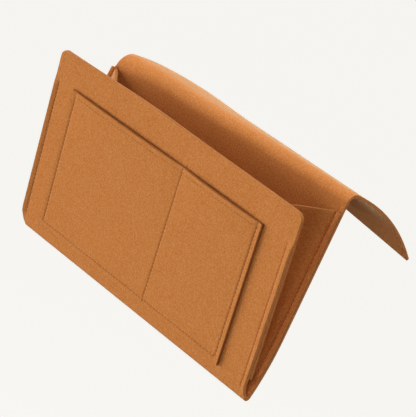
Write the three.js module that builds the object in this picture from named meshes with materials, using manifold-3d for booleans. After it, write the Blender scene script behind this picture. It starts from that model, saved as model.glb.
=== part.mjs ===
// Bedside caddy of thick felt.
// One long felt cut makes the front panel, the bottom fold, the back panel and the tuck flap.
// Two gussets fold inward like a bellows at the sides, and a sewn patch makes two outer pockets.
// Millimetres, +Z up. The front faces -Y, and the bed is towards +Y.
// Origin: the middle of the top fold's hollow side, where the upper edge of the bed sits.
// The plane y = 0 is the rear face of the back panel, and z = 0 is the underside of the top fold at mid-width.

import * as THREE from 'three';
import { mergeVertices } from 'three/addons/utils/BufferGeometryUtils.js';
import Module from 'manifold-3d';

const degrees = THREE.MathUtils.degToRad;

// Felt thickness, and the clearance between neighbouring pieces
const FELT = 3;
const GAP = 0.3;

// Main sheet: the opening is the angle between the front panel and the upright back panel
const FRONT_WIDTH = 330;
const FLAP_WIDTH = 310;
const FRONT_HEIGHT = 192;
const BACK_HEIGHT = 201;
const OPENING = degrees(17);
const BOTTOM_DEPTH = 17;
const BOTTOM_CURVE_HEIGHT = 30;
const FRONT_CORNER_RADIUS = 9;

// Top fold and tuck flap: the felt is soft, so the fold is wider and lower at its left end, and the flap
// droops more at its right end. The fold's radii are on its hollow side.
const TOP_FOLD_LEFT_RADIUS = 15;
const TOP_FOLD_RIGHT_RADIUS = 7.5;
const TOP_FOLD_RISE = 4.6;
const FLAP_LENGTH = 140;
const FLAP_LEFT_TILT = degrees(0.5);
const FLAP_RIGHT_TILT = degrees(5.4);
const FLAP_LEFT_DROOP_RADIUS = 515;
const FLAP_RIGHT_DROOP_RADIUS = 263;

// Gussets: heights run up each panel from the bottom fold, and the fold angle is leaf to panel
const SEAM_INSET = 6;
const GUSSET_BOTTOM = 31;
const GUSSET_REAR_TOP = 186;
const GUSSET_FRONT_TOP = 160;
const GUSSET_FOLD = degrees(41);
const CREASE_CLEARANCE = 2;

// Outer pocket patch: margins are to the front panel's side edges and bottom fold
const POCKET_HEIGHT = 146.5;
const POCKET_LEFT_MARGIN = 29.5;
const POCKET_RIGHT_MARGIN = 36.5;
const POCKET_BOTTOM_MARGIN = 14;
const POCKET_SEAM_INSET = 5.5;
const POCKET_BULGE = 2;
const DIVIDER_AT_MOUTH = 160;
const DIVIDER_AT_BOTTOM = 155;
const MOUTH_STITCH_INSET = 5;

// Sewing thread
const THREAD_WIDTH = 1;
const THREAD_HEIGHT = 0.7;
const FRONT_SEAM_BOTTOM = 8;

// Facets on round stretches
const ARC_STEPS = 5;
const ROUND_SIDES = 16;
const SHEET_COLUMNS = 6;
const FLAP_ROWS = 10;
const BULGE_STEPS = 8;
const POCKET_ROWS = 5;

const wasm = await Module();
wasm.setup();

const felt = new THREE.MeshStandardMaterial({ color: 0xbe7842, roughness: 0.95, metalness: 0 });
const thread = new THREE.MeshStandardMaterial({ color: 0x8a5226, roughness: 0.7, metalness: 0 });

const half = FELT / 2;
const bottomZ = -BACK_HEIGHT;

const caddy = new THREE.Group();
const front = new THREE.Group();
caddy.add(front);

function addPiece(parent, name, geometry, material) {
  const mesh = new THREE.Mesh(geometry, material);
  mesh.name = name;
  parent.add(mesh);
}

// Solid modelling helpers

// A closed solid from shared vertices and triangles, turned so that its faces point out.
function closedSolid(vertices, triangles) {
  let volume = 0;
  for (const [a, b, c] of triangles) {
    volume += vertices[a].dot(new THREE.Vector3().crossVectors(vertices[b], vertices[c]));
  }
  const facing = volume > 0 ? triangles : triangles.map(([a, b, c]) => [a, c, b]);
  const geometry = new THREE.BufferGeometry();
  const positions = vertices.flatMap((vertex) => vertex.toArray());
  geometry.setAttribute('position', new THREE.Float32BufferAttribute(positions, 3));
  geometry.setIndex(facing.flat());
  return geometry;
}

// A solid between two closed, convex, flat loops with the same count of points.
function loft(lower, upper) {
  const count = lower.length;
  const triangles = [];
  for (let step = 0; step < count; step += 1) {
    const next = (step + 1) % count;
    triangles.push([step, next, next + count], [step, next + count, step + count]);
  }
  for (let step = 1; step < count - 1; step += 1) {
    triangles.push([0, step + 1, step], [count, count + step, count + step + 1]);
  }
  return closedSolid([...lower, ...upper], triangles);
}

// A solid sheet between two faces, each a function of a column and a row.
function sheet(columns, rows, nearFace, farFace) {
  const vertices = [];
  for (const face of [nearFace, farFace]) {
    for (let row = 0; row <= rows; row += 1) {
      for (let column = 0; column <= columns; column += 1) {
        vertices.push(face(column, row));
      }
    }
  }
  const stride = columns + 1;
  const far = stride * (rows + 1);
  const triangles = [];
  const quad = (a, b, c, d) => triangles.push([a, b, c], [a, c, d]);
  for (let row = 0; row < rows; row += 1) {
    const left = row * stride;
    const right = left + columns;
    quad(left, left + stride, far + left + stride, far + left);
    quad(right, far + right, far + right + stride, right + stride);
    for (let column = 0; column < columns; column += 1) {
      const a = left + column;
      quad(a, a + 1, a + stride + 1, a + stride);
      quad(far + a, far + a + stride, far + a + stride + 1, far + a + 1);
    }
  }
  for (let column = 0; column < columns; column += 1) {
    const top = rows * stride + column;
    quad(column, far + column, far + column + 1, column + 1);
    quad(top, top + 1, far + top + 1, far + top);
  }
  return closedSolid(vertices, triangles);
}

function toManifold(geometry) {
  const bare = geometry.clone();
  bare.deleteAttribute('normal');
  bare.deleteAttribute('uv');
  const merged = mergeVertices(bare, 1e-4);
  return new wasm.Manifold(new wasm.Mesh({
    numProp: 3,
    vertProperties: new Float32Array(merged.attributes.position.array),
    triVerts: new Uint32Array(merged.index.array),
  }));
}

function fromManifold(solid) {
  const mesh = solid.getMesh();
  const geometry = new THREE.BufferGeometry();
  geometry.setAttribute('position', new THREE.Float32BufferAttribute(mesh.vertProperties, 3));
  geometry.setIndex(Array.from(mesh.triVerts));
  return geometry;
}

// Main sheet, middle: the curved bottom, the flat back and the top fold are one unbroken piece

// The front panel swings on the bottom fold, at the middle of the felt.
const foldZ = bottomZ + half;
const foldY = -BOTTOM_DEPTH + half * Math.cos(OPENING) - half * (1 - Math.sin(OPENING)) * Math.tan(OPENING);

// Half the sheet's width at a height: it narrows from the bottom fold to the flap.
function halfWidthAt(z) {
  const share = THREE.MathUtils.clamp((z - bottomZ) / BACK_HEIGHT, 0, 1);
  return THREE.MathUtils.lerp(FRONT_WIDTH, FLAP_WIDTH, share) / 2;
}

// The top fold at a share of the width, from its left end to its right end.
function topFoldAt(share) {
  return {
    radius: THREE.MathUtils.lerp(TOP_FOLD_LEFT_RADIUS, TOP_FOLD_RIGHT_RADIUS, share),
    undersideZ: TOP_FOLD_RISE * (share - 0.5),
  };
}

// The curve runs from the flat back down and forward to the bottom fold. Its end is cut on a slant,
// so that the felt on the hollow side makes room for the front panel when the pocket is closed.
function makeBackPanel() {
  const curveTopZ = bottomZ + BOTTOM_CURVE_HEIGHT;
  const forward = -half - foldY;
  const rise = curveTopZ - foldZ;
  const curveRadius = (rise * rise + forward * forward) / (2 * forward);
  const curveY = -half - curveRadius;
  const sweep = Math.asin(rise / curveRadius);
  const skinSetback = Math.sqrt((half + GAP) ** 2 - half ** 2);
  const skinEnd = -(sweep - skinSetback / curveRadius);
  const hollowEnd = -(sweep - (skinSetback + FELT) / curveRadius);
  const face = (rearward, curveEnd) => (column, row) => {
    const share = column / SHEET_COLUMNS;
    const { radius, undersideZ } = topFoldAt(share);
    const onCurve = row <= ARC_STEPS;
    const turn = onCurve
      ? THREE.MathUtils.lerp(curveEnd, 0, row / ARC_STEPS)
      : THREE.MathUtils.lerp(Math.PI, Math.PI / 2, (row - ARC_STEPS - 1) / ARC_STEPS);
    const reach = onCurve ? curveRadius + rearward : radius + half - rearward;
    const y = (onCurve ? curveY : radius) + reach * Math.cos(turn);
    const z = (onCurve ? curveTopZ : undersideZ - radius) + reach * Math.sin(turn);
    const side = halfWidthAt(z);
    return new THREE.Vector3(THREE.MathUtils.lerp(-side, side, share), y, z);
  };
  return sheet(SHEET_COLUMNS, 2 * ARC_STEPS + 1, face(half, skinEnd), face(-half, hollowEnd));
}
addPiece(caddy, 'back_panel', makeBackPanel(), felt);

// Main sheet, top: the tuck flap turns where the top fold ends, and droops to its free edge.
// Its edge at the fold is round about the line that it turns on.

function makeTuckFlap() {
  const roundRows = ROUND_SIDES / 4;
  const face = (upward) => (column, row) => {
    const share = column / SHEET_COLUMNS;
    const { radius, undersideZ } = topFoldAt(share);
    const tilt = THREE.MathUtils.lerp(FLAP_LEFT_TILT, FLAP_RIGHT_TILT, share);
    const droop = THREE.MathUtils.lerp(1 / FLAP_LEFT_DROOP_RADIUS, 1 / FLAP_RIGHT_DROOP_RADIUS, share);
    const slope = tilt + droop * FLAP_LENGTH * Math.max(row - roundRows, 0) / FLAP_ROWS;
    const turn = Math.PI / 2 * Math.min((row + 1) / (roundRows + 1), 1);
    const back = half * Math.cos(turn);
    const lift = upward * half * Math.sin(turn);
    const y = radius + GAP + half + (Math.sin(slope) - Math.sin(tilt)) / droop;
    const z = undersideZ + half + (Math.cos(slope) - Math.cos(tilt)) / droop;
    return new THREE.Vector3(
      THREE.MathUtils.lerp(-FLAP_WIDTH / 2, FLAP_WIDTH / 2, share),
      y - back * Math.cos(slope) + lift * Math.sin(slope),
      z + back * Math.sin(slope) + lift * Math.cos(slope),
    );
  };
  return sheet(SHEET_COLUMNS, roundRows + FLAP_ROWS, face(-1), face(1));
}
addPiece(caddy, 'tuck_flap', makeTuckFlap(), felt);

// Main sheet, bottom: the front panel leans forward from the bottom fold.
// Its own frame has z = 0 on the fold and y = 0 in the middle of the felt.

front.position.set(0, foldY, foldZ);
front.rotation.x = OPENING;
front.updateMatrixWorld(true);

// A height up the front panel from the lowest edge of the fold, in the panel's frame.
const upFront = (height) => height - half;

function makeFrontPanel() {
  const side = FRONT_WIDTH / 2;
  const top = upFront(FRONT_HEIGHT);
  const corner = FRONT_CORNER_RADIUS;
  const outline = new THREE.Shape();
  outline.moveTo(-side, 0);
  outline.lineTo(side, 0);
  outline.absarc(side - corner, top - corner, corner, 0, Math.PI / 2, false);
  outline.absarc(corner - side, top - corner, corner, Math.PI / 2, Math.PI, false);
  const plate = new THREE.ExtrudeGeometry(outline, {
    depth: FELT,
    bevelEnabled: false,
    curveSegments: ARC_STEPS,
  });
  plate.rotateX(Math.PI / 2).translate(0, half, 0);
  const foldedEdge = new THREE.CylinderGeometry(half, half, FRONT_WIDTH, ROUND_SIDES);
  foldedEdge.rotateZ(Math.PI / 2);
  return fromManifold(toManifold(plate).add(toManifold(foldedEdge)));
}
addPiece(front, 'front_panel', makeFrontPanel(), felt);

// Gussets: each is one felt cut, folded inward at its middle crease and sewn on through its two hems

// A seam line: its foot, the way up, the way in across the panel, and the way off the panel's face.
// The line runs in the middle of the gusset's felt, which lies on the panel's inner face.
function rearSeam(side) {
  const y = -FELT - GAP - half;
  const seamPoint = (height) => {
    const z = bottomZ + height;
    return new THREE.Vector3(side * (halfWidthAt(z) - SEAM_INSET), y, z);
  };
  const foot = seamPoint(GUSSET_BOTTOM);
  const up = seamPoint(GUSSET_REAR_TOP).sub(foot);
  const length = up.length();
  up.normalize();
  const off = new THREE.Vector3(0, -1, 0);
  const across = new THREE.Vector3().crossVectors(up, off).multiplyScalar(-side);
  return { foot, up, across, off, length };
}

function frontSeam(side) {
  const y = half + GAP + half;
  const foot = new THREE.Vector3(side * (FRONT_WIDTH / 2 - SEAM_INSET), y, upFront(GUSSET_BOTTOM));
  return {
    foot: front.localToWorld(foot),
    up: new THREE.Vector3(0, 0, 1).transformDirection(front.matrixWorld),
    across: new THREE.Vector3(-side, 0, 0),
    off: new THREE.Vector3(0, 1, 0).transformDirection(front.matrixWorld),
    length: GUSSET_FRONT_TOP - GUSSET_BOTTOM,
  };
}

// A point at a height along a seam, at distances in and off the panel.
function fromSeam(seam, height, inward, away) {
  return seam.foot.clone()
    .addScaledVector(seam.up, height)
    .addScaledVector(seam.across, inward)
    .addScaledVector(seam.off, away);
}

// The directions along a leaf and through its felt, at the fold angle from its panel.
function leafDirections(seam) {
  const along = seam.across.clone().multiplyScalar(Math.cos(GUSSET_FOLD));
  along.addScaledVector(seam.off, Math.sin(GUSSET_FOLD));
  const through = seam.off.clone().multiplyScalar(Math.cos(GUSSET_FOLD));
  through.addScaledVector(seam.across, -Math.sin(GUSSET_FOLD));
  return { along, through };
}

// How far a leaf reaches, at a height on its seam, to the plane of the leaf that it meets at the crease.
function creaseReach(seam, partner, height) {
  const normal = leafDirections(partner).through;
  const toPartner = partner.foot.clone().sub(fromSeam(seam, height, 0, 0));
  return toPartner.dot(normal) / leafDirections(seam).along.dot(normal);
}

// A leaf has a round edge on its seam line, and its upper cut edge slopes from the high rear seam to the
// low front seam, so that the two leaves meet halfway at the crease.
function makeLeaf(seam, partner, creaseRise) {
  const { along, through } = leafDirections(seam);
  const section = (reach, heightAt) => {
    const points = [];
    for (let step = 0; step <= ROUND_SIDES / 2; step += 1) {
      const angle = Math.PI * (0.5 + step / (ROUND_SIDES / 2));
      points.push([half * Math.cos(angle), half * Math.sin(angle)]);
    }
    points.push([reach, -half], [reach, half]);
    return points.map(([distance, depth]) => fromSeam(seam, heightAt(distance), 0, 0)
      .addScaledVector(along, distance)
      .addScaledVector(through, depth));
  };
  const lowReach = creaseReach(seam, partner, 0) - CREASE_CLEARANCE;
  const highReach = creaseReach(seam, partner, seam.length + creaseRise) - CREASE_CLEARANCE;
  const lower = section(lowReach, () => 0);
  const upper = section(highReach, (distance) => seam.length + creaseRise * distance / highReach);
  return loft(lower, upper);
}

// A hem lies flat on its panel, from the panel's cut edge to the seam.
function makeHem(seam) {
  const section = (height) => [
    fromSeam(seam, height, -SEAM_INSET, -half),
    fromSeam(seam, height, -half - GAP, -half),
    fromSeam(seam, height, -half - GAP, half),
    fromSeam(seam, height, -SEAM_INSET, half),
  ];
  return loft(section(0), section(seam.length));
}

// The thread of a rear seam shows on the hem, beside the leaf's round edge.
function makeRearSeamThread(seam) {
  const middle = -(SEAM_INSET + half + GAP) / 2;
  const section = (height) => [
    fromSeam(seam, height, middle - THREAD_WIDTH / 2, half + GAP),
    fromSeam(seam, height, middle + THREAD_WIDTH / 2, half + GAP),
    fromSeam(seam, height, middle + THREAD_WIDTH / 2, half + GAP + THREAD_HEIGHT),
    fromSeam(seam, height, middle - THREAD_WIDTH / 2, half + GAP + THREAD_HEIGHT),
  ];
  return loft(section(0), section(seam.length));
}

for (const [name, side] of [['left', -1], ['right', 1]]) {
  const rear = rearSeam(side);
  const fore = frontSeam(side);
  const halfSlope = (GUSSET_REAR_TOP - GUSSET_FRONT_TOP) / 2;
  addPiece(caddy, `${name}_gusset_rear_hem`, makeHem(rear), felt);
  addPiece(caddy, `${name}_gusset_rear_leaf`, makeLeaf(rear, fore, -halfSlope), felt);
  addPiece(caddy, `${name}_gusset_front_leaf`, makeLeaf(fore, rear, halfSlope), felt);
  addPiece(caddy, `${name}_gusset_front_hem`, makeHem(fore), felt);
  addPiece(caddy, `${name}_rear_seam`, makeRearSeamThread(rear), thread);
}

// Outer pocket: a patch on the front panel, sewn at its left, bottom and right and open at its mouth.
// An upright divider seam makes two pockets of it, and each swells a little towards the mouth.

const pocketLeft = POCKET_LEFT_MARGIN - FRONT_WIDTH / 2;
const pocketRight = FRONT_WIDTH / 2 - POCKET_RIGHT_MARGIN;
const pocketBottom = upFront(POCKET_BOTTOM_MARGIN);
const pocketMouth = pocketBottom + POCKET_HEIGHT;
const pocketBack = -half - GAP;
const pocketFace = pocketBack - FELT;

// The patch's upright lines at a height: cut edge, seam, divider, seam and cut edge.
function pocketLines(z) {
  const share = (z - pocketBottom) / POCKET_HEIGHT;
  return [
    pocketLeft,
    pocketLeft + POCKET_SEAM_INSET,
    pocketLeft + THREE.MathUtils.lerp(DIVIDER_AT_BOTTOM, DIVIDER_AT_MOUTH, share),
    pocketRight - POCKET_SEAM_INSET,
    pocketRight,
  ];
}

// A point on the patch, between two of its upright lines, on a face of the felt at a given y.
function pocketPoint(line, across, z, y) {
  const lines = pocketLines(z);
  const x = THREE.MathUtils.lerp(lines[line], lines[line + 1], across);
  const rise = (z - pocketBottom - POCKET_SEAM_INSET) / (POCKET_HEIGHT - POCKET_SEAM_INSET);
  const sewnFlat = line === 0 || line === 3;
  const swell = sewnFlat ? 0 : POCKET_BULGE * Math.sin(Math.PI * across) * Math.max(rise, 0) ** 2;
  return new THREE.Vector3(x, y - swell, z);
}

// Each column of the patch's grid: which pair of lines it lies between, and how far across.
const pocketColumns = [[0, 0]];
for (const line of [1, 2]) {
  for (let step = 0; step < BULGE_STEPS; step += 1) {
    pocketColumns.push([line, step / BULGE_STEPS]);
  }
}
pocketColumns.push([3, 0], [3, 1]);

function makeOuterPocket() {
  const seamZ = pocketBottom + POCKET_SEAM_INSET;
  const rowZ = (row) => (row === 0
    ? pocketBottom
    : THREE.MathUtils.lerp(seamZ, pocketMouth, (row - 1) / POCKET_ROWS));
  const face = (y) => (column, row) => pocketPoint(...pocketColumns[column], rowZ(row), y);
  return sheet(pocketColumns.length - 1, POCKET_ROWS + 1, face(pocketBack), face(pocketFace));
}
addPiece(front, 'outer_pocket', makeOuterPocket(), felt);

// Threads that show on the front: each lies on the felt as a slim strip

const threadNear = pocketFace - GAP;
const threadFar = threadNear - THREAD_HEIGHT;

// A strip along a path, given as points on its two edges, between two values of y.
function makeStrip(edges, nearY, farY) {
  const face = (y) => (column, row) => new THREE.Vector3(edges[column][row][0], y, edges[column][row][1]);
  return sheet(1, edges[0].length - 1, face(nearY), face(farY));
}

function makePocketSeam() {
  const edge = (inset) => {
    const left = pocketLeft + inset;
    const right = pocketRight - inset;
    const bottom = pocketBottom + inset;
    return [[left, pocketMouth], [left, bottom], [right, bottom], [right, pocketMouth]];
  };
  const inset = POCKET_SEAM_INSET;
  return makeStrip([edge(inset - THREAD_WIDTH / 2), edge(inset + THREAD_WIDTH / 2)], threadNear, threadFar);
}
addPiece(front, 'pocket_seam', makePocketSeam(), thread);

// The divider's thread stops clear of the two threads that it would cross.
function makeDividerSeam() {
  const clear = THREAD_WIDTH / 2 + GAP;
  const low = pocketBottom + POCKET_SEAM_INSET + clear;
  const high = pocketMouth - MOUTH_STITCH_INSET - clear;
  const edge = (offset) => [low, high].map((z) => [pocketLines(z)[2] + offset, z]);
  return makeStrip([edge(-THREAD_WIDTH / 2), edge(THREAD_WIDTH / 2)], threadNear, threadFar);
}
addPiece(front, 'divider_seam', makeDividerSeam(), thread);

// The stitch along the mouth follows the swell of both pockets.
function makeMouthStitch() {
  const middle = pocketMouth - MOUTH_STITCH_INSET;
  const lines = pocketLines(middle);
  const clear = THREAD_WIDTH / 2 + GAP;
  const columns = pocketColumns.slice(1, -1);
  const ends = [
    [1, clear / (lines[2] - lines[1])],
    [2, 1 - clear / (lines[3] - lines[2])],
  ];
  columns[0] = ends[0];
  columns[columns.length - 1] = ends[1];
  const face = (y) => (column, row) => {
    const z = middle + (row - 0.5) * THREAD_WIDTH;
    return pocketPoint(...columns[column], z, y);
  };
  return sheet(columns.length - 1, 1, face(threadNear), face(threadFar));
}
addPiece(front, 'mouth_stitch', makeMouthStitch(), thread);

// The front seams hold the gussets' front hems, and show on the front panel's outer face.
function makeFrontSeam(side) {
  const middle = side * (FRONT_WIDTH / 2 - SEAM_INSET);
  const ends = [upFront(FRONT_SEAM_BOTTOM), upFront(GUSSET_FRONT_TOP)];
  const edge = (offset) => ends.map((z) => [middle + offset, z]);
  const near = -half - GAP;
  return makeStrip([edge(-THREAD_WIDTH / 2), edge(THREAD_WIDTH / 2)], near, near - THREAD_HEIGHT);
}
addPiece(front, 'left_front_seam', makeFrontSeam(-1), thread);
addPiece(front, 'right_front_seam', makeFrontSeam(1), thread);

export default caddy;
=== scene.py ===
import bpy
import numpy as np
from mathutils import Matrix


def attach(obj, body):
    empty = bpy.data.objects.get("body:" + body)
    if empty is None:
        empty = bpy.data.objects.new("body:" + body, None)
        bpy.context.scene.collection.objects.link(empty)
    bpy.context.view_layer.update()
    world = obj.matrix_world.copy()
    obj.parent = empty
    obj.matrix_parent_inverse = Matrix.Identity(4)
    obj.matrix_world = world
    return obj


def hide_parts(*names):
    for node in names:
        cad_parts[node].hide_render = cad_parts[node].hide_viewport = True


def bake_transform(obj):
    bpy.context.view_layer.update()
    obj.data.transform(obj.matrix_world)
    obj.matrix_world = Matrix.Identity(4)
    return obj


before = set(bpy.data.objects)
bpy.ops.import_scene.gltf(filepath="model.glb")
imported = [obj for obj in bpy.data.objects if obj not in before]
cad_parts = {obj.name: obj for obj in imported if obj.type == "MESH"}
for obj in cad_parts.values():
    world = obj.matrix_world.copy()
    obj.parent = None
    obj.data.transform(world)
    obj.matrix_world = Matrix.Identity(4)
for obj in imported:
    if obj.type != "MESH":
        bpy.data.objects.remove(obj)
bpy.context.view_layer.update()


# The felt: thick pressed felt with no weave, cut to shape and left raw at every edge. Its fibres lie every
# way, which gives the eye a fine mottle, a soft matt face and a pale fuzz at a grazing view. A cut edge is a
# little darker and has no fuzz. Sizes are in millimetres unless a comment says otherwise.

FELT = 3.0              # thickness
CUT_ROUND = 0.35        # how far a cut edge is rounded off
FIBRE_GRAIN = 1.4       # single fibres are too fine to show, so the grain is drawn this coarse
MOTTLE = 12.0           # broad patches of lighter and darker felt
MM = 0.001              # m


def linear(hex_colour):
    """An sRGB hex colour as linear red, green, blue and alpha."""
    channels = np.array([int(hex_colour[place:place + 2], 16) for place in (1, 3, 5)]) / 255
    low = channels / 12.92
    high = ((channels + 0.055) / 1.055) ** 2.4
    return (*np.where(channels <= 0.04045, low, high), 1.0)


def add_node(tree, kind, values, links):
    """Adds a node. Values that name an input set that input, and the others set the node itself."""
    made = tree.nodes.new(kind)
    for key, value in values.items():
        if isinstance(key, int) or key in made.inputs:
            made.inputs[key].default_value = value
        else:
            setattr(made, key, value)
    for key, source in links.items():
        tree.links.new(source, made.inputs[key])
    return made


def felt_material(name, dark, light, sheen):
    """Felt: a fine fibre grain over a faint broad mottle sets the colour, and the grain also lifts the face."""
    material = bpy.data.materials.new(name)
    material.use_nodes = True
    tree = material.node_tree
    shader = tree.nodes["Principled BSDF"]
    place = add_node(tree, "ShaderNodeTexCoord", {}, {}).outputs["Object"]
    grain = add_node(tree, "ShaderNodeTexNoise",
                     {"Scale": 1 / (FIBRE_GRAIN * MM), "Detail": 2.0, "Roughness": 0.6}, {"Vector": place})
    mottle = add_node(tree, "ShaderNodeTexNoise",
                      {"Scale": 1 / (MOTTLE * MM), "Detail": 2.0, "Roughness": 0.5}, {"Vector": place})
    mixed = add_node(tree, "ShaderNodeMix", {"data_type": "FLOAT", "Factor": 0.12},
                     {"A": grain.outputs["Fac"], "B": mottle.outputs["Fac"]})
    ramp = add_node(tree, "ShaderNodeValToRGB", {}, {"Fac": mixed.outputs["Result"]})
    ramp.color_ramp.elements[0].position = 0.3
    ramp.color_ramp.elements[0].color = linear(dark)
    ramp.color_ramp.elements[1].position = 0.7
    ramp.color_ramp.elements[1].color = linear(light)
    lift = add_node(tree, "ShaderNodeBump", {"Strength": 0.5, "Distance": 0.4 * MM},
                    {"Height": grain.outputs["Fac"]})
    tree.links.new(ramp.outputs["Color"], shader.inputs["Base Color"])
    tree.links.new(lift.outputs["Normal"], shader.inputs["Normal"])
    shader.inputs["Roughness"].default_value = 0.95
    shader.inputs["Specular IOR Level"].default_value = 0.1
    shader.inputs["Sheen Weight"].default_value = sheen
    shader.inputs["Sheen Roughness"].default_value = 0.3
    shader.inputs["Sheen Tint"].default_value = linear("#fff0c4")
    return material


tan_felt = felt_material("tan_pressed_felt", "#b26628", "#ca884f", sheen=0.55)
cut_felt = felt_material("raw_felt_cut_edge", "#945425", "#ae7443", sheen=0.0)


def unit(vector):
    """A vector, or each of an array of them, at length 1."""
    return vector / np.linalg.norm(vector, axis=-1, keepdims=True)


def felt_sheet(name, middle, thickness, joined=()):
    """A felt cut as a closed mesh. Its two faces lie half the thickness to each side of the middle surface,
    along the cross product of the grid's two directions, and a band with rounded corners closes the edges.
    A side in joined meets more of the same felt, so it is left square."""
    along = unit(np.gradient(middle, axis=1))
    up = unit(np.gradient(middle, axis=0))
    normal = unit(np.cross(along, up))
    half = np.broadcast_to(thickness, middle.shape[:2])[..., None] / 2
    outward = np.zeros_like(middle)
    for side, cut, direction in (("first_row", np.s_[0], -up), ("last_row", np.s_[-1], up),
                                 ("first_column", np.s_[:, 0], -along), ("last_column", np.s_[:, -1], along)):
        if side not in joined:
            outward[cut] += direction[cut] * CUT_ROUND
    rows, columns = middle.shape[:2]
    grid = np.arange(rows * columns).reshape(rows, columns)
    rim = np.concatenate([grid[0, :-1], grid[:-1, -1], grid[-1, :0:-1], grid[:0:-1, 0]])
    face = (middle - outward + normal * half).reshape(-1, 3)
    back = (middle - outward - normal * half).reshape(-1, 3)
    # Three rings round off the corner of each face.
    turn = np.radians([30, 60, 90])
    pulled = np.concatenate([1 - np.sin(turn), (1 - np.sin(turn))[::-1]])[:, None, None]
    sunk = np.concatenate([1 - np.cos(turn), (1 - np.cos(turn))[::-1]])[:, None, None]
    towards = np.array([1, 1, 1, -1, -1, -1])[:, None, None]
    edge, edge_half = middle.reshape(-1, 3)[rim], half.reshape(-1, 1)[rim]
    edge_out, edge_normal = outward.reshape(-1, 3)[rim], normal.reshape(-1, 3)[rim]
    rings = edge - edge_out * pulled + edge_normal * towards * (edge_half - CUT_ROUND * sunk)
    vertices = np.concatenate([face, back, rings.reshape(-1, 3)])
    quads = np.stack([grid[:-1, :-1], grid[:-1, 1:], grid[1:, 1:], grid[1:, :-1]], -1).reshape(-1, 4)
    ring_starts = 2 * grid.size + len(rim) * np.arange(len(rings))[:, None]
    loops = np.concatenate([rim[None], ring_starts + np.arange(len(rim)), rim[None] + grid.size])
    ahead = np.roll(loops, -1, axis=1)
    band = np.stack([loops[:-1], loops[1:], ahead[1:], ahead[:-1]], -1).reshape(-1, 4)
    faces = np.concatenate([quads, quads[:, ::-1] + grid.size, band])
    mesh = bpy.data.meshes.new(name)
    mesh.from_pydata(vertices * MM, [], faces)
    mesh.polygons.foreach_set("use_smooth", np.ones(len(faces), bool))
    mesh.polygons.foreach_set("material_index", np.repeat([0, 1], [2 * len(quads), len(band)]))
    mesh.materials.append(tan_felt)
    mesh.materials.append(cut_felt)
    piece = bpy.data.objects.new(name, mesh)
    bpy.context.collection.objects.link(piece)
    return piece


# Main sheet, upper part: the flat back panel rolls over at the top and runs on as the tuck flap.
# It is one unbroken stretch of felt. The roll is wide and low at its left end, tighter and higher at its
# right end, and the flap droops more towards its right corner.

LEFT, RIGHT = -1, 1
FRONT_WIDTH = 330.0
FLAP_WIDTH = 310.0
FLAP_LENGTH = 141.0
BACK_HEIGHT = 201.0
PARTING = 67.0 - BACK_HEIGHT            # the height on the back panel where this mesh meets the lower part
CLOSE_ROW = 0.05                        # a row this near the parting keeps the shading flat up to it
EDGE_STRIP = 35.0                       # at each side, this much keeps its distance to the cut edge
ROLL_RADIUS = 16.4, 9.0                 # at the left end and at the right end
ROLL_TOP, ROLL_RISE = 1.3, 4.6          # its height at mid width, and its rise from end to end
END_SAG, END_SAG_REACH = 2.6, 63.0      # the roll sags at its left end
DIP, DIP_PLACE, DIP_SPREAD = 0.6, -42.0, 48.0   # and dips a little left of its middle
FLAP_TILT = 0.5, 5.4                    # degrees below the level, at the left and at the right
FLAP_DROOP = 0.117, 0.213               # degrees more for each millimetre, at the left and at the right
SEAM_DEPTH, SEAM_SPREAD = 1.4, 0.85     # how much thinner a seam makes the felt, and how far to each side
REAR_STITCH_INSET = 5.2
REAR_FADE = 2.0                         # the rear seams' grooves fade out over this length
GUSSET_BOTTOM = 21.0
GUSSET_REAR_TOP = {LEFT: 181.0, RIGHT: 186.0}


def grid_lines(low, high, step, seams=()):
    """Grid positions about a step apart, with one 1 mm inside each end and a close set at each seam. None of
    the close ones lies within 0.3 mm of an end."""
    even = np.linspace(low, high, int(np.ceil((high - low) / step)) + 1)[1:-1]
    near = np.array([-3.0, -1.9, -1.3, -0.9, -0.6, -0.3, 0, 0.3, 0.6, 0.9, 1.3, 1.9, 3.0])
    close = np.concatenate([np.array([low + 1, high - 1])] + [seam + near for seam in seams])
    close = np.unique(close[(close > low + 0.3) & (close < high - 0.3)])
    clear = np.abs(even[:, None] - close).min(axis=1) > step / 3
    return np.concatenate([[low], np.sort(np.concatenate([even[clear], close])), [high]])


def seam_pinch(distance):
    """How much a seam squeezes the felt, as a bell curve of the distance from the stitches."""
    return SEAM_DEPTH * np.exp(-(distance / SEAM_SPREAD) ** 2)


def smooth(value):
    """A smooth step from 0 to 1."""
    value = np.clip(value, 0, 1)
    return value * value * (3 - 2 * value)


def between(ends, share):
    """The value at a share of the way from the first of two ends to the second."""
    return ends[0] + (ends[1] - ends[0]) * share


def half_width(z):
    """Half the main sheet's width: it narrows evenly from the bottom fold to the top."""
    share = np.clip((z + BACK_HEIGHT) / BACK_HEIGHT, 0, 1)
    return between((FRONT_WIDTH, FLAP_WIDTH), share) / 2


def across_at(columns, width):
    """Column positions on a sheet whose half width differs from the front's: the strip along each side keeps
    its distance to the cut edge, and the middle takes up the difference."""
    narrower = FRONT_WIDTH / 2 - width
    share = np.clip(np.abs(columns) / (FRONT_WIDTH / 2 - EDGE_STRIP), 0, 1)
    return columns - np.sign(columns) * narrower * share


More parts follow.
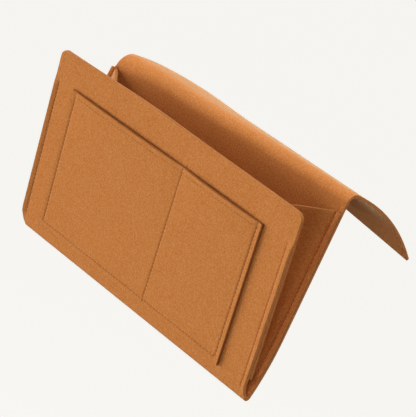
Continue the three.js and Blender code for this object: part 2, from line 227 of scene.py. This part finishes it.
rear_stitch_x = FRONT_WIDTH / 2 - REAR_STITCH_INSET
columns = grid_lines(-FRONT_WIDTH / 2, FRONT_WIDTH / 2, 6, seams=(-rear_stitch_x, rear_stitch_x))
flap_x = across_at(columns, FLAP_WIDTH / 2)[None]
rightward = flap_x / FLAP_WIDTH + 0.5
roll_radius = between(ROLL_RADIUS, rightward)
from_left = np.clip((END_SAG_REACH - FLAP_WIDTH / 2 - flap_x) / END_SAG_REACH, 0, 1)
roll_sag = END_SAG * from_left ** 2 + DIP * np.exp(-((flap_x - DIP_PLACE) / DIP_SPREAD) ** 2)
roll_top = ROLL_RISE * (rightward - 0.5) + ROLL_TOP - roll_sag
roll_z = roll_top - roll_radius
roll_y = roll_radius - FELT / 2
tilt = np.radians(between(FLAP_TILT, rightward))
droop = np.radians(between(FLAP_DROOP, rightward ** 1.3))

# The back panel rises about 125 mm straight to the roll, which is an arc, and the flap leaves the arc as a
# flatter arc.
share = np.insert(np.linspace(0, 1, 26), 1, CLOSE_ROW / 125)[:, None]
back_z = between((PARTING, roll_z), share)
back_y = np.full_like(back_z, -FELT / 2)
angle = np.pi - np.linspace(0, 1, 15)[1:, None] * (np.pi / 2 + tilt)
turned_y = roll_y + roll_radius * np.cos(angle)
turned_z = roll_z + roll_radius * np.sin(angle)
reach = grid_lines(0, FLAP_LENGTH, 5)[1:, None]
slope = tilt + droop * reach
flap_y = turned_y[-1] + (np.sin(slope) - np.sin(tilt)) / droop
flap_z = turned_z[-1] + (np.cos(slope) - np.cos(tilt)) / droop
profile_y = np.concatenate([back_y, turned_y, flap_y])
profile_z = np.concatenate([back_z, turned_z, flap_z])
profile_x = across_at(np.broadcast_to(columns, profile_y.shape), half_width(np.minimum(profile_z, 0)))
profile_x[len(back_y):] = flap_x
middle = np.stack([profile_x, profile_y, profile_z], -1)
sewn_top = np.where(columns < 0, GUSSET_REAR_TOP[LEFT], GUSSET_REAR_TOP[RIGHT]) - BACK_HEIGHT
sewn = smooth((sewn_top - profile_z) / REAR_FADE + 1) * (np.arange(len(middle)) < len(back_y))[:, None]
thickness = FELT - sewn * seam_pinch(np.abs(columns) - rear_stitch_x)
back_and_flap = felt_sheet("back_and_flap_felt", middle, thickness, joined={"first_row"})
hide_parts("tuck_flap")
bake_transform(back_and_flap)


# Main sheet, lower part: below the back panel the felt curves forward, turns up in a small round fold at the
# bottom and becomes the front panel, with its upper corners cut round. The side seams squeeze it to a
# groove, and the strip outside each seam flares forward.

FRONT_HEIGHT = 190.4
CORNER_RADIUS = 7.4
OPENING = np.radians(17)
BOTTOM_DEPTH = 17.0
BOTTOM_FORWARD = 9.0                    # how far the bottom curve brings the felt forward
CURVE_TOP = 62.0 - BACK_HEIGHT
FOLD_RADIUS = 3.28                      # at the middle of the felt
LEAN = 0.015                            # the panel hangs a little askew: its upright lines lean to the right
SKEW = 0.0066                           # and its level lines fall to the right
BOW = 3.0                               # its upper edge bows into the pocket
CROWN, CROWN_PLACE, CROWN_SPREAD = 1.4, -40.0, 60.0     # and stands higher left of its middle
CROWN_FROM, CROWN_RISE = 120.0, 70.0    # the heights over which that comes in
SIDE_FROM, SIDE_REACH = 120.0, 40.0     # what draws a side in or out fades in from here, over this far
CORNER_IN, CORNER_REACH = 9.4, 17.0     # the lower left corner is worn round
LEFT_IN = 0.9                           # the left seam draws its edge in
RIGHT_IN, RIGHT_IN_TOP = 0.9, 120.0     # the right edge is drawn in towards the bottom
FOOT_OUT, FOOT_REACH = 1.5, 14.0        # and spreads again at its foot
SEAM_FLARE, FLARE_REACH = {LEFT: 2.2, RIGHT: 2.6}, 7.0
FRONT_STITCH_INSET = {LEFT: 6.0, RIGHT: 7.0}
FRONT_SEAM_LOW, LOW_FADE = 8.0, 4.0     # a groove starts at this height and fades in over this length
FRONT_SEAM_HIGH, HIGH_FADE = 160.0, 3.0

up_front = np.array([0, -np.sin(OPENING), np.cos(OPENING)])
into_pocket = np.array([0, np.cos(OPENING), np.sin(OPENING)])
sideways = np.array([1.0, 0, 0])
half_felt_forward = FELT / 2 * (np.cos(OPENING) - (1 - np.sin(OPENING)) * np.tan(OPENING))
fold_line = np.array([0, half_felt_forward - BOTTOM_DEPTH, FELT / 2 - BACK_HEIGHT])
front_stitch_x = {side: side * (FRONT_WIDTH / 2 - FRONT_STITCH_INSET[side]) for side in (LEFT, RIGHT)}


def on_front(x, inward, height):
    """A place on the front panel: x, a distance into the pocket from the middle of the felt, and a height up
    the panel from the lowest edge of the bottom fold. The panel is sheared a little both ways, and bows into
    the pocket as a parabola across and as the power 1.5 of the height."""
    x, inward, height = np.broadcast_arrays(x, inward, height)
    bow = BOW * (1 - (2 * x / FRONT_WIDTH) ** 2) * np.clip(height / FRONT_HEIGHT, 0, 1) ** 1.5
    return (fold_line + (x + LEAN * (height - FRONT_HEIGHT / 2))[..., None] * sideways
            + (inward + bow)[..., None] * into_pocket + (height - SKEW * x - FELT / 2)[..., None] * up_front)


def outside_seams(x):
    """How far x lies outside the nearer side seam of the front panel."""
    return np.maximum(front_stitch_x[LEFT] - x, x - front_stitch_x[RIGHT])


def front_flare(x):
    """How far the strip outside a side seam stands forward: a smooth step from the stitches to the cut edge."""
    flare = np.where(x < 0, SEAM_FLARE[LEFT], SEAM_FLARE[RIGHT])
    return flare * smooth(outside_seams(x) / FLARE_REACH + 0.1)


def rounded_off(distance):
    """How far the lower left corner is drawn in, as the square of the nearness to the bottom fold."""
    return CORNER_IN * np.clip(1 - distance / CORNER_REACH, 0, 1) ** 2


# The bottom curve is an arc that leaves the back panel straight down, and the fold is a small arc that touches
# both the bottom curve and the front panel.
rise = CURVE_TOP - fold_line[2]
curve_radius = (rise ** 2 + BOTTOM_FORWARD ** 2) / (2 * BOTTOM_FORWARD)
curve_centre = np.array([0, -FELT / 2 - curve_radius, CURVE_TOP])
inside = fold_line + FOLD_RADIUS * into_pocket - curve_centre
slide = inside @ up_front
fold_lift = -slide - np.sqrt(slide ** 2 - inside @ inside + (curve_radius - FOLD_RADIUS) ** 2)
fold_centre = fold_line + FOLD_RADIUS * into_pocket + fold_lift * up_front
touch = np.arctan2(*(fold_centre - curve_centre)[[2, 1]])
curve_turn = np.linspace(0, touch, 12)[1:]
fold_turn = np.linspace(touch, OPENING - np.pi, 10)[1:]
flat_z = np.insert(np.linspace(PARTING, CURVE_TOP, 5), 1, PARTING - CLOSE_ROW)
lower_y = np.concatenate([np.full(len(flat_z), -FELT / 2), curve_centre[1] + curve_radius * np.cos(curve_turn),
                          fold_centre[1] + FOLD_RADIUS * np.cos(fold_turn)])
lower_z = np.concatenate([flat_z, curve_centre[2] + curve_radius * np.sin(curve_turn),
                          fold_centre[2] + FOLD_RADIUS * np.sin(fold_turn)])

columns = grid_lines(-FRONT_WIDTH / 2, FRONT_WIDTH / 2, 6, seams=(front_stitch_x[LEFT], front_stitch_x[RIGHT]))
leftmost = smooth((-columns - SIDE_FROM) / SIDE_REACH)
rightmost = smooth((columns - SIDE_FROM) / SIDE_REACH)
lower_x = across_at(np.broadcast_to(columns, (len(lower_z), len(columns))), half_width(lower_z[:, None]))
near_fold = smooth((CURVE_TOP - lower_z) / (CURVE_TOP - lower_z[-1]))[:, None]
lower_x = lower_x + rounded_off(np.abs(lower_z - lower_z.min()))[:, None] * leftmost
lower_x = lower_x - near_fold * (LEAN * FRONT_HEIGHT / 2 - FOOT_OUT * rightmost)
askew_z = lower_z[:, None] - near_fold * SKEW * columns * up_front[2]
askew_y = lower_y[:, None] - near_fold * SKEW * columns * up_front[1]
lower = np.stack([lower_x, askew_y, askew_z], -1)

# Above the fold the rows climb the front panel, and come close together where its upper corners are round.
heights = grid_lines(fold_lift + FELT / 2, FRONT_HEIGHT, 5)[1:]
rounding = FRONT_HEIGHT - CORNER_RADIUS + CORNER_RADIUS * np.sin(np.radians([0, 15, 30, 45, 58, 70, 80, 90]))
heights = np.concatenate([heights[heights < rounding[0] - 2], rounding])
past_round = np.clip(heights - (FRONT_HEIGHT - CORNER_RADIUS), 0, CORNER_RADIUS)
front_half = FRONT_WIDTH / 2 - CORNER_RADIUS + np.sqrt(CORNER_RADIUS ** 2 - past_round ** 2)
front_x = columns * (front_half / (FRONT_WIDTH / 2))[:, None] + rounded_off(heights)[:, None] * leftmost
crowned = smooth((heights - CROWN_FROM) / CROWN_RISE)[:, None]
crown = CROWN * np.exp(-((columns - CROWN_PLACE) / CROWN_SPREAD) ** 2) * crowned
sewn = (smooth((heights - FRONT_SEAM_LOW) / LOW_FADE + 0.5)
        * smooth((FRONT_SEAM_HIGH - heights) / HIGH_FADE + 0.5))[:, None]
drawn_in = (RIGHT_IN * np.clip(1 - heights / RIGHT_IN_TOP, 0, 1)
            - FOOT_OUT * np.clip(1 - heights / FOOT_REACH, 0, 1) ** 2)
front_x = front_x + LEFT_IN * leftmost * sewn - drawn_in[:, None] * rightmost
panel = on_front(front_x, -front_flare(front_x) * sewn, heights[:, None] + crown)
middle = np.concatenate([lower, panel])

# The side seams squeeze the front panel, and the lower end of the rear seams squeezes the back.
thickness = np.full(middle.shape[:2], FELT)
thickness[len(lower):] -= sewn * seam_pinch(outside_seams(front_x))
on_back = np.arange(len(lower_z)) < len(flat_z) + len(curve_turn)
rear_sewn = smooth((lower_z + BACK_HEIGHT - GUSSET_BOTTOM) / REAR_FADE + 1) * on_back
thickness[:len(lower)] -= rear_sewn[:, None] * seam_pinch(np.abs(columns) - rear_stitch_x)
front_and_bottom = felt_sheet("front_and_bottom_felt", middle, thickness, joined={"first_row"})
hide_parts("back_panel", "front_panel")
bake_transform(front_and_bottom)


# Gussets: one felt cut at each side, folded inward at its middle crease like a bellows. A narrow hem lies on
# each panel and is sewn through it, and the upper edge slopes down from the back to the front. Each gusset
# is meshed in two halves, and a thin tongue of each runs on inside the other, so the crease stays closed.

SEAM_INSET = 6.0                # from a panel's edge to the leaf's root
HEM_STITCH = 0.8                # from the leaf's root out to the stitches
GUSSET_FRONT_TOP = 160.0
GUSSET_FOLD = np.radians(41)
CLEAR = 0.15                    # between felts that lie on each other
HEM_BEND, LEAF_BEND = 1.8, 2.0  # how far the bend at the root reaches into the hem and into the leaf
CREASE_BEND = 5.0               # how far the bend at the crease reaches into each leaf
TONGUE = (0.505, 0.6, 0.72)     # shares of the crease's bend, past its middle
TONGUE_THINNER = 0.8
# Distances from the stitches, towards the crease, for how a half follows its panel:
FOLLOW_END, FOLLOW_FADE = 16.8, 12.0                    # the rear half follows the bottom curve up to here
HEM_CURL, CURL_FROM, CURL_REACH = 1.0, -0.6, 4.0        # its cut edge curls off the panel
SWELL, SWELL_PLACE, SWELL_SPREAD = 1.1, 3.4, 1.7        # and its leaf swells beside the groove
HEM_FLARE_FROM, HEM_FLARE_REACH = 1.0, 2.0              # the front hem flares with the front panel's strip
GUSSET_SQUEEZE, GUSSET_SPREAD = 1.6, 1.25               # the groove is this much deeper and wider than in a panel


def curve_forward(z):
    """How far the bottom curve stands forward of the back panel's plane at a level, from the circle's
    formula."""
    return curve_radius - np.sqrt(curve_radius ** 2 - np.clip(CURVE_TOP - z, 0, None) ** 2)


def rear_seam(side):
    """The foot, the top, the way in across the panel and the way off it, for a seam on the back panel."""
    heights = np.array([GUSSET_BOTTOM, GUSSET_REAR_TOP[side]]) - BACK_HEIGHT
    inset = side * (half_width(heights) - SEAM_INSET)
    foot, top = np.stack([inset, np.full(2, -1.5 * FELT - CLEAR), heights], -1)
    off = np.array([0, -1.0, 0])
    return foot, top, -side * np.cross(unit(top - foot), off), off


def front_seam(side):
    """The same for a seam on the front panel."""
    inset = side * (FRONT_WIDTH / 2 - SEAM_INSET)
    foot, top = on_front(inset, FELT + CLEAR, np.array([GUSSET_BOTTOM, GUSSET_FRONT_TOP]))
    return foot, top, -side * sideways, into_pocket


def leaf_axes(seam):
    """The way along a leaf from its seam to the crease, and the way through its felt."""
    foot, top, inward, off = seam
    along = inward * np.cos(GUSSET_FOLD) + off * np.sin(GUSSET_FOLD)
    return along, off * np.cos(GUSSET_FOLD) - inward * np.sin(GUSSET_FOLD)


def crease_ends(rear, fore):
    """The crease is where the two leaves' planes cross. Its ends lie halfway between where each leaf's lower
    and upper edge would reach it."""
    (rear_along, rear_through), (fore_along, fore_through) = leaf_axes(rear), leaf_axes(fore)
    slope = (GUSSET_REAR_TOP[RIGHT] - GUSSET_FRONT_TOP) / 2
    rear_top = rear[1] - unit(rear[1] - rear[0]) * slope
    fore_top = fore[1] + unit(fore[1] - fore[0]) * slope
    low_rear = rear[0] + rear_along * ((fore[0] - rear[0]) @ fore_through) / (rear_along @ fore_through)
    high_rear = rear_top + rear_along * ((fore[0] - rear_top) @ fore_through) / (rear_along @ fore_through)
    low_fore = fore[0] + fore_along * ((rear[0] - fore[0]) @ rear_through) / (fore_along @ rear_through)
    high_fore = fore_top + fore_along * ((rear[0] - fore_top) @ rear_through) / (fore_along @ rear_through)
    return (low_rear + low_fore) / 2, (high_rear + high_fore) / 2


def parabola(start, corner, end, shares):
    """The curve that leaves start towards the corner and reaches end from it, at shares of the way along."""
    return [start * (1 - t) ** 2 + corner * 2 * t * (1 - t) + end * t ** 2 for t in shares]


def gusset_half(seam, partner, crease):
    """The middle surface of half a gusset, from its hem's cut edge to the crease. A row is a height. Along a
    row come the flat hem, a small bend at the seam, the straight leaf, half of the bend at the crease and the
    tongue. Both bends are parabolas that touch the straight stretches beside them."""
    height = np.linspace(0, 1, 32)[:, None]
    root, other, fold = (between(ends, height) for ends in (seam, partner, crease))
    inward = seam[2]
    along, other_along = unit(fold - root), unit(fold - other)
    hem = [root - inward * distance for distance in (SEAM_INSET, SEAM_INSET - 1, 4, 3.2, 2.4)]
    bend_end = root + along * LEAF_BEND
    bend = parabola(root - inward * HEM_BEND, root, bend_end, np.linspace(0, 1, 9))
    leaf_end = fold - along * CREASE_BEND
    leaf = [between((bend_end, leaf_end), share) for share in np.linspace(0, 1, 10)[1:]]
    to_tongue = np.concatenate([np.linspace(0, 0.5, 7)[1:], TONGUE])
    turn = parabola(leaf_end, fold, fold - other_along * CREASE_BEND, to_tongue)
    return np.stack(hem + bend + leaf + turn, 1)


for name, side in (("left", LEFT), ("right", RIGHT)):
    rear, fore = rear_seam(side), front_seam(side)
    crease = crease_ends(rear, fore)
    for half, body, seam, partner in (("rear", "back", rear, fore), ("front", "front", fore, rear)):
        middle = gusset_half(seam, partner, crease)
        stitched = np.linalg.norm(middle - middle[:, :1], axis=2) - (SEAM_INSET - HEM_STITCH)
        if half == "rear":
            off_panel = (curve_forward(middle[..., 2]) * smooth((FOLLOW_END - stitched) / FOLLOW_FADE)
                         + HEM_CURL * smooth((CURL_FROM - stitched) / CURL_REACH)
                         + SWELL * np.exp(-((stitched - SWELL_PLACE) / SWELL_SPREAD) ** 2))
        else:
            off_panel = -front_flare(middle[..., 0]) * smooth((HEM_FLARE_FROM - stitched) / HEM_FLARE_REACH)
        middle = middle + off_panel[..., None] * seam[3]
        thickness = FELT - GUSSET_SQUEEZE * seam_pinch(stitched / GUSSET_SPREAD)
        thickness[:, -len(TONGUE):] -= TONGUE_THINNER
        leaf = felt_sheet(f"{name}_gusset_{half}_felt", middle, thickness, joined={"last_column"})
        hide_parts(f"{name}_gusset_{half}_hem", f"{name}_gusset_{half}_leaf")
        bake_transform(leaf)


# Outer pocket: a felt patch on the front panel, sewn at its left, bottom and right edges and open at its
# mouth, with a slanting divider seam that makes two pockets. Each pocket swells a little towards the mouth,
# the seams lie in grooves, and the strip outside the seams flares off the panel.

POCKET_WIDTH = 263.5
POCKET_HEIGHT = 146.9
POCKET_LEFT = 29.5 - FRONT_WIDTH / 2
POCKET_BOTTOM = 14.0
POCKET_OFF = -(FELT + CLEAR)    # from the middle of the front panel's felt to the middle of the patch
POCKET_SWELL = 2.8
POCKET_FLARE = 0.6
POCKET_STITCH_INSET = 5.6
MOUTH_STITCH_INSET = 5.0
MOUTH_SQUEEZE = 0.7             # one layer of felt takes a shallower groove
DIVIDER_AT_MOUTH = 158.5
DIVIDER_AT_BOTTOM = 156.5
DIVIDER_STRIP, SIDE_MARGIN = 4.0, 8.0       # the patch's columns slant beside the divider and not near a side
RUN_OUT = 3.6                   # how far the divider seam runs past the mouth and past the bottom seam

left_seam = POCKET_LEFT + POCKET_STITCH_INSET
right_seam = POCKET_LEFT + POCKET_WIDTH - POCKET_STITCH_INSET
bottom_seam = POCKET_BOTTOM + POCKET_STITCH_INSET
mouth = POCKET_BOTTOM + POCKET_HEIGHT
mouth_seam = mouth - MOUTH_STITCH_INSET


def divider_x(height):
    """The divider seam's place across the front, which slants from the mouth to the bottom seam."""
    share = (height - POCKET_BOTTOM) / POCKET_HEIGHT
    return POCKET_LEFT + between((DIVIDER_AT_BOTTOM, DIVIDER_AT_MOUTH), share)


def pocket_middle(x, height):
    """The patch's middle surface. It swells as the square of the height, and between two seams as the root of
    a half sine."""
    divider = divider_x(height)
    share = np.where(x < divider, (x - left_seam) / (divider - left_seam),
                     (x - divider) / (right_seam - divider))
    risen = np.clip((height - bottom_seam) / (mouth - bottom_seam), 0, 1)
    swell = POCKET_SWELL * np.sin(np.pi * np.clip(share, 0, 1)) ** 0.5 * risen ** 2
    flare = POCKET_FLARE * smooth(np.maximum(left_seam - x, x - right_seam) / POCKET_STITCH_INSET)
    return on_front(x, POCKET_OFF - swell - flare, height)


def pocket_thickness(x, height):
    """The patch's thickness, squeezed along its seams."""
    squeeze = np.maximum(seam_pinch(x - left_seam), seam_pinch(x - right_seam)) * (height > bottom_seam)
    squeeze = np.maximum(squeeze, seam_pinch(height - bottom_seam) * (x > left_seam) * (x < right_seam))
    squeeze = np.maximum(squeeze, seam_pinch(x - divider_x(height)) * (height > bottom_seam - RUN_OUT))
    return FELT - np.maximum(squeeze, MOUTH_SQUEEZE * seam_pinch(height - mouth_seam))


divider_top = divider_x(mouth)
columns = grid_lines(POCKET_LEFT, POCKET_LEFT + POCKET_WIDTH, 5, seams=(left_seam, divider_top, right_seam))
heights = grid_lines(POCKET_BOTTOM, mouth, 5, seams=(bottom_seam, mouth_seam))[:, None]
room = np.where(columns < divider_top, divider_top - left_seam, right_seam - divider_top)
past_strip = np.abs(columns - divider_top) - DIVIDER_STRIP
follow = np.clip(1 - past_strip / (room - DIVIDER_STRIP - SIDE_MARGIN), 0, 1)
pocket_x = columns + follow * (divider_x(heights) - divider_top)
outer_pocket = felt_sheet("outer_pocket_felt", pocket_middle(pocket_x, heights),
                          pocket_thickness(pocket_x, heights))
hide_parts("outer_pocket")
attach(outer_pocket, "front")


# Seams: tone-on-tone sewing thread in even lock stitches, twisted polyester nearly without gloss. Its colour is
# drawn
# darker than the felt: partly the thread's own tone and partly painted shade of the grooves that the stitches lie
# in.
# Each stitch is a short bar of thread that dips into the felt at both ends, with the same row on the other face
# of the two layers.

STITCH_PITCH = 4.15
STITCH_LENGTH = 3.2
STITCH_DIP = 0.4                # how deep its ends go in
THREAD_WIDTH = 0.6
THREAD_TWIST = 1 / 1.4          # one light and dark turn of the twist
THREAD_PROUD = 0.1              # how far the middle of the thread lies off the felt
HEM_THREAD = 0.5                # from the middle of a squeezed hem to the thread
MOUTH_BEHIND = 0.2              # the shallower groove at the mouth keeps the hidden row this much further out
CORNER_RUN_OUT = 4.0            # how far the left seam of the pocket runs past the bottom seam

thread_and_groove_shade_material = bpy.data.materials.new("brown_thread_with_painted_groove_shade")
thread_and_groove_shade_material.use_nodes = True
tree = thread_and_groove_shade_material.node_tree
shader = tree.nodes["Principled BSDF"]
place = add_node(tree, "ShaderNodeTexCoord", {}, {}).outputs["Object"]
twist = add_node(tree, "ShaderNodeTexNoise",
                 {"Scale": 1 / (THREAD_TWIST * MM), "Detail": 1.0}, {"Vector": place})
tone = add_node(tree, "ShaderNodeValToRGB", {}, {"Fac": twist.outputs["Fac"]})
# The thread's twist runs between these two browns, which are darker than the thread alone: they also hold painted
# shade of the seam grooves.
tone.color_ramp.elements[0].color = linear("#5a3010")
tone.color_ramp.elements[1].color = linear("#7e4a1e")
tree.links.new(tone.outputs["Color"], shader.inputs["Base Color"])
shader.inputs["Roughness"].default_value = 0.6
shader.inputs["Specular IOR Level"].default_value = 0.15


def stitch_row(path, normal):
    """The stitches along a path, all with the same surface normal: for each stitch its middle, the stretch from
    its start to its end, and its normal. They are spaced evenly by the distance along the path."""
    steps = np.linalg.norm(np.diff(path, axis=0), axis=1)
    distance = np.concatenate([[0], np.cumsum(steps)])
    count = max(int(round(distance[-1] / STITCH_PITCH)), 1)
    centre = (np.arange(count) + 0.5) * distance[-1] / count
    start, end = (np.stack([np.interp(centre + shift, distance, path[:, axis]) for axis in range(3)], -1)
                  for shift in (-STITCH_LENGTH / 2, STITCH_LENGTH / 2))
    return (start + end) / 2, end - start, np.broadcast_to(unit(normal), start.shape)


def stitches(name, rows, body, node):
    """All the stitches of a seam as one mesh: a bar with six sides and seven rings for each, thinner at its
    ends, where it dips into the felt as a parabola."""
    place, stretch, normal = (np.concatenate(parts) for parts in zip(*rows))
    side = unit(np.cross(stretch, normal))
    station = np.array([-0.5, -0.44, -0.25, 0, 0.25, 0.44, 0.5])
    girth = np.array([0.35, 0.8, 1, 1, 1, 0.8, 0.35])
    dip = -STITCH_DIP * (2 * station) ** 2
    turn = np.arange(6) * np.pi / 3
    wide = girth[:, None] * np.cos(turn) * THREAD_WIDTH / 2
    high = girth[:, None] * np.sin(turn) * THREAD_WIDTH / 2 + dip[:, None]
    vertices = (place[:, None, None] + stretch[:, None, None] * station[:, None, None]
                + side[:, None, None] * wide[..., None] + normal[:, None, None] * high[..., None])
    grid = np.arange(wide.size).reshape(wide.shape)
    ahead = np.roll(grid, -1, axis=1)
    quads = np.stack([grid[:-1], ahead[:-1], ahead[1:], grid[1:]], -1).reshape(-1, 4)
    offsets = grid.size * np.arange(len(place))[:, None, None]
    sides = (quads[None] + offsets).reshape(-1, 4).tolist()
    ends = (np.stack([grid[0, ::-1], grid[-1]])[None] + offsets).reshape(-1, 6).tolist()
    mesh = bpy.data.meshes.new(name)
    mesh.from_pydata(vertices.reshape(-1, 3) * MM, [], sides + ends)
    mesh.polygons.foreach_set("use_smooth", np.ones(len(mesh.polygons), bool))
    mesh.materials.append(thread_and_groove_shade_material)
    seam = bpy.data.objects.new(name, mesh)
    bpy.context.collection.objects.link(seam)
    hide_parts(node)
    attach(seam, body)
    return seam


squeezed = (FELT - SEAM_DEPTH) / 2 + THREAD_PROUD       # from the middle of the felt to the thread, in a groove
unsqueezed = FELT / 2 + THREAD_PROUD                    # and on flat felt
line = np.linspace(0, 1, 60)
for name, side in (("left", LEFT), ("right", RIGHT)):
    heights = between((FRONT_SEAM_LOW, FRONT_SEAM_HIGH), line)
    outer = on_front(front_stitch_x[side], -squeezed, heights)
    inner = on_front(front_stitch_x[side], FELT + CLEAR + squeezed, heights[heights > GUSSET_BOTTOM])
    rows = [stitch_row(outer, -into_pocket), stitch_row(inner, into_pocket)]
    stitches(f"{name}_front_stitches", rows, "front", f"{name}_front_seam")
    foot, top, inward, off = rear_seam(side)
    hem_line = between((foot, top), line[:, None]) - inward * HEM_STITCH
    hem_line = hem_line + curve_forward(hem_line[:, 2:]) * off
    rows = [stitch_row(hem_line + off * HEM_THREAD, off),
            stitch_row(hem_line - off * (FELT + CLEAR + squeezed), -off)]
    stitches(f"{name}_rear_stitches", rows, "back", f"{name}_rear_seam")

# Each seam of the pocket is a list of runs, given as places across the front and heights.
across = between((left_seam, right_seam), line)
divider_heights = between((mouth, bottom_seam - RUN_OUT), line)
pocket_seams = {
    "pocket": ("pocket_seam", [(np.full_like(line, left_seam), between((mouth, bottom_seam), line)),
                               (left_seam - 0.3 - 0.6 * line, bottom_seam - CORNER_RUN_OUT * line),
                               (across, np.full_like(line, bottom_seam)),
                               (np.full_like(line, right_seam), between((bottom_seam, mouth), line))]),
    "divider": ("divider_seam", [(divider_x(divider_heights), divider_heights)]),
    "mouth": ("mouth_stitch", [(across, np.full_like(line, mouth_seam))]),
}
for name, (node, runs) in pocket_seams.items():
    rows = []
    for x, height in runs:
        patch = pocket_middle(x, height)
        rows.append(stitch_row(patch - into_pocket * squeezed, -into_pocket))
        if name == "mouth":
            behind = patch + into_pocket * (squeezed + MOUTH_BEHIND)
        else:
            behind = on_front(x, unsqueezed, height)
        rows.append(stitch_row(behind, into_pocket))
    if name == "divider":
        above = mouth + RUN_OUT * line
        rows.append(stitch_row(on_front(divider_x(above), -unsqueezed, above), -into_pocket))
    stitches(f"{name}_stitches", rows, "front", node)


# Stage: a plain pale floor far below the hanging caddy, an even pale sky, and six soft boxes round it. The
# floor's matt paint is seen as pale as the sky, and throws little light back up. The long-lens camera stands
# at the right of the front, tilted as in the photo.

PALE = "#f5f4f0"
FLOOR, FLOOR_REACH = -5.0, 80.0                 # m
CADDY_MIDDLE = np.array([0, -0.02, -0.1])       # m
LAMP_DISTANCE = 4.8                             # m
LAMPS = (                                       # name, watts, width in m, direction from the caddy
    ("front_left_soft_box", 224.0, 4.0, (-0.74, -0.66, -0.12)),     # the front
    ("overhead_soft_box", 288.0, 4.0, (-0.05, 0.0, 1.0)),           # the roll and the inside of the pocket
    ("rear_left_soft_box", 100.0, 2.5, (-0.55, 0.64, 0.53)),        # the bright left end of the roll
    ("right_soft_box", 78.0, 2.0, (0.36, -0.91, -0.20)),            # the right gusset and the flap's underside
    ("rear_right_soft_box", 120.0, 2.0, (0.84, 0.54, -0.07)),       # the cut edges at the right
    ("low_front_soft_box", 14.0, 4.0, (-0.20, -0.62, -0.76)),       # the bottom
)
IMAGE_WIDTH = 416                               # pixels
FOCAL_LENGTH = 1799.5                           # in the same pixels


def looked_at(tree):
    """1 for the rays by which the background is seen, straight on or in a gloss, and 0 for those that light."""
    ray = add_node(tree, "ShaderNodeLightPath", {}, {})
    plain = add_node(tree, "ShaderNodeMath", {"operation": "MAXIMUM"},
                     {0: ray.outputs["Is Camera Ray"], 1: ray.outputs["Is Glossy Ray"]})
    either = add_node(tree, "ShaderNodeMath", {"operation": "MAXIMUM"},
                      {0: plain.outputs[0], 1: ray.outputs["Is Transmission Ray"]})
    return either.outputs[0]


floor_mesh = bpy.data.meshes.new("floor")
spread = FLOOR_REACH * np.array([(-1, -1), (1, -1), (1, 1), (-1, 1)])
floor_mesh.from_pydata(np.column_stack([spread, np.full(4, FLOOR)]), [], [(0, 1, 2, 3)])
floor = bpy.data.objects.new("floor", floor_mesh)
bpy.context.collection.objects.link(floor)
floor_material = bpy.data.materials.new("pale_matt_floor")
floor_material.use_nodes = True
tree = floor_material.node_tree
shader = tree.nodes["Principled BSDF"]
bright = add_node(tree, "ShaderNodeMath", {"operation": "MULTIPLY", 1: 0.975}, {0: looked_at(tree)})
tree.links.new(bright.outputs[0], shader.inputs["Emission Strength"])
shader.inputs["Emission Color"].default_value = linear(PALE)
shader.inputs["Base Color"].default_value = linear("#8c8b88")
shader.inputs["Roughness"].default_value = 1.0
shader.inputs["Specular IOR Level"].default_value = 0.0
floor_mesh.materials.append(floor_material)

world = bpy.data.worlds.new("pale_sky")
bpy.context.scene.world = world
world.use_nodes = True
tree = world.node_tree
sky = tree.nodes["Background"]
sky.inputs["Color"].default_value = (1.0, 0.99, 0.97, 1)
sky.inputs["Strength"].default_value = 0.10
backdrop = add_node(tree, "ShaderNodeBackground", {"Color": linear(PALE), "Strength": 1.0}, {})
seen = add_node(tree, "ShaderNodeMixShader", {},
                {0: looked_at(tree), 1: sky.outputs[0], 2: backdrop.outputs[0]})
tree.links.new(seen.outputs[0], tree.nodes["World Output"].inputs["Surface"])


def aimed(location, back, right):
    """A matrix that puts something at a location, looking against back, with right to its right."""
    back = unit(np.asarray(back, float))
    up = unit(np.cross(back, right))
    matrix = np.eye(4)
    matrix[:3] = np.stack([np.cross(up, back), up, back, location], 1)
    return Matrix(matrix.tolist())


for name, energy, size, direction in LAMPS:
    lamp = bpy.data.lights.new(name, "AREA")
    lamp.shape = "SQUARE"
    lamp.size = size
    lamp.energy = energy
    soft_box = bpy.data.objects.new(name, lamp)
    bpy.context.collection.objects.link(soft_box)
    away = unit(np.array(direction))
    soft_box.matrix_world = aimed(CADDY_MIDDLE + LAMP_DISTANCE * away, away, (0.9, 0.3, 0.1))

camera_data = bpy.data.cameras.new("camera")
camera_data.sensor_fit = "HORIZONTAL"
camera_data.sensor_width = 36.0
camera_data.lens = camera_data.sensor_width * FOCAL_LENGTH / IMAGE_WIDTH
camera_data.clip_end = 200.0
camera = bpy.data.objects.new("camera", camera_data)
bpy.context.collection.objects.link(camera)
camera.matrix_world = aimed((0.9870, -1.3236, 0.2568), (0.5772, -0.7911, 0.2026), (0.6637, 0.599, 0.4479))
bpy.context.scene.camera = camera
bpy.context.scene.view_settings.view_transform = "Standard"
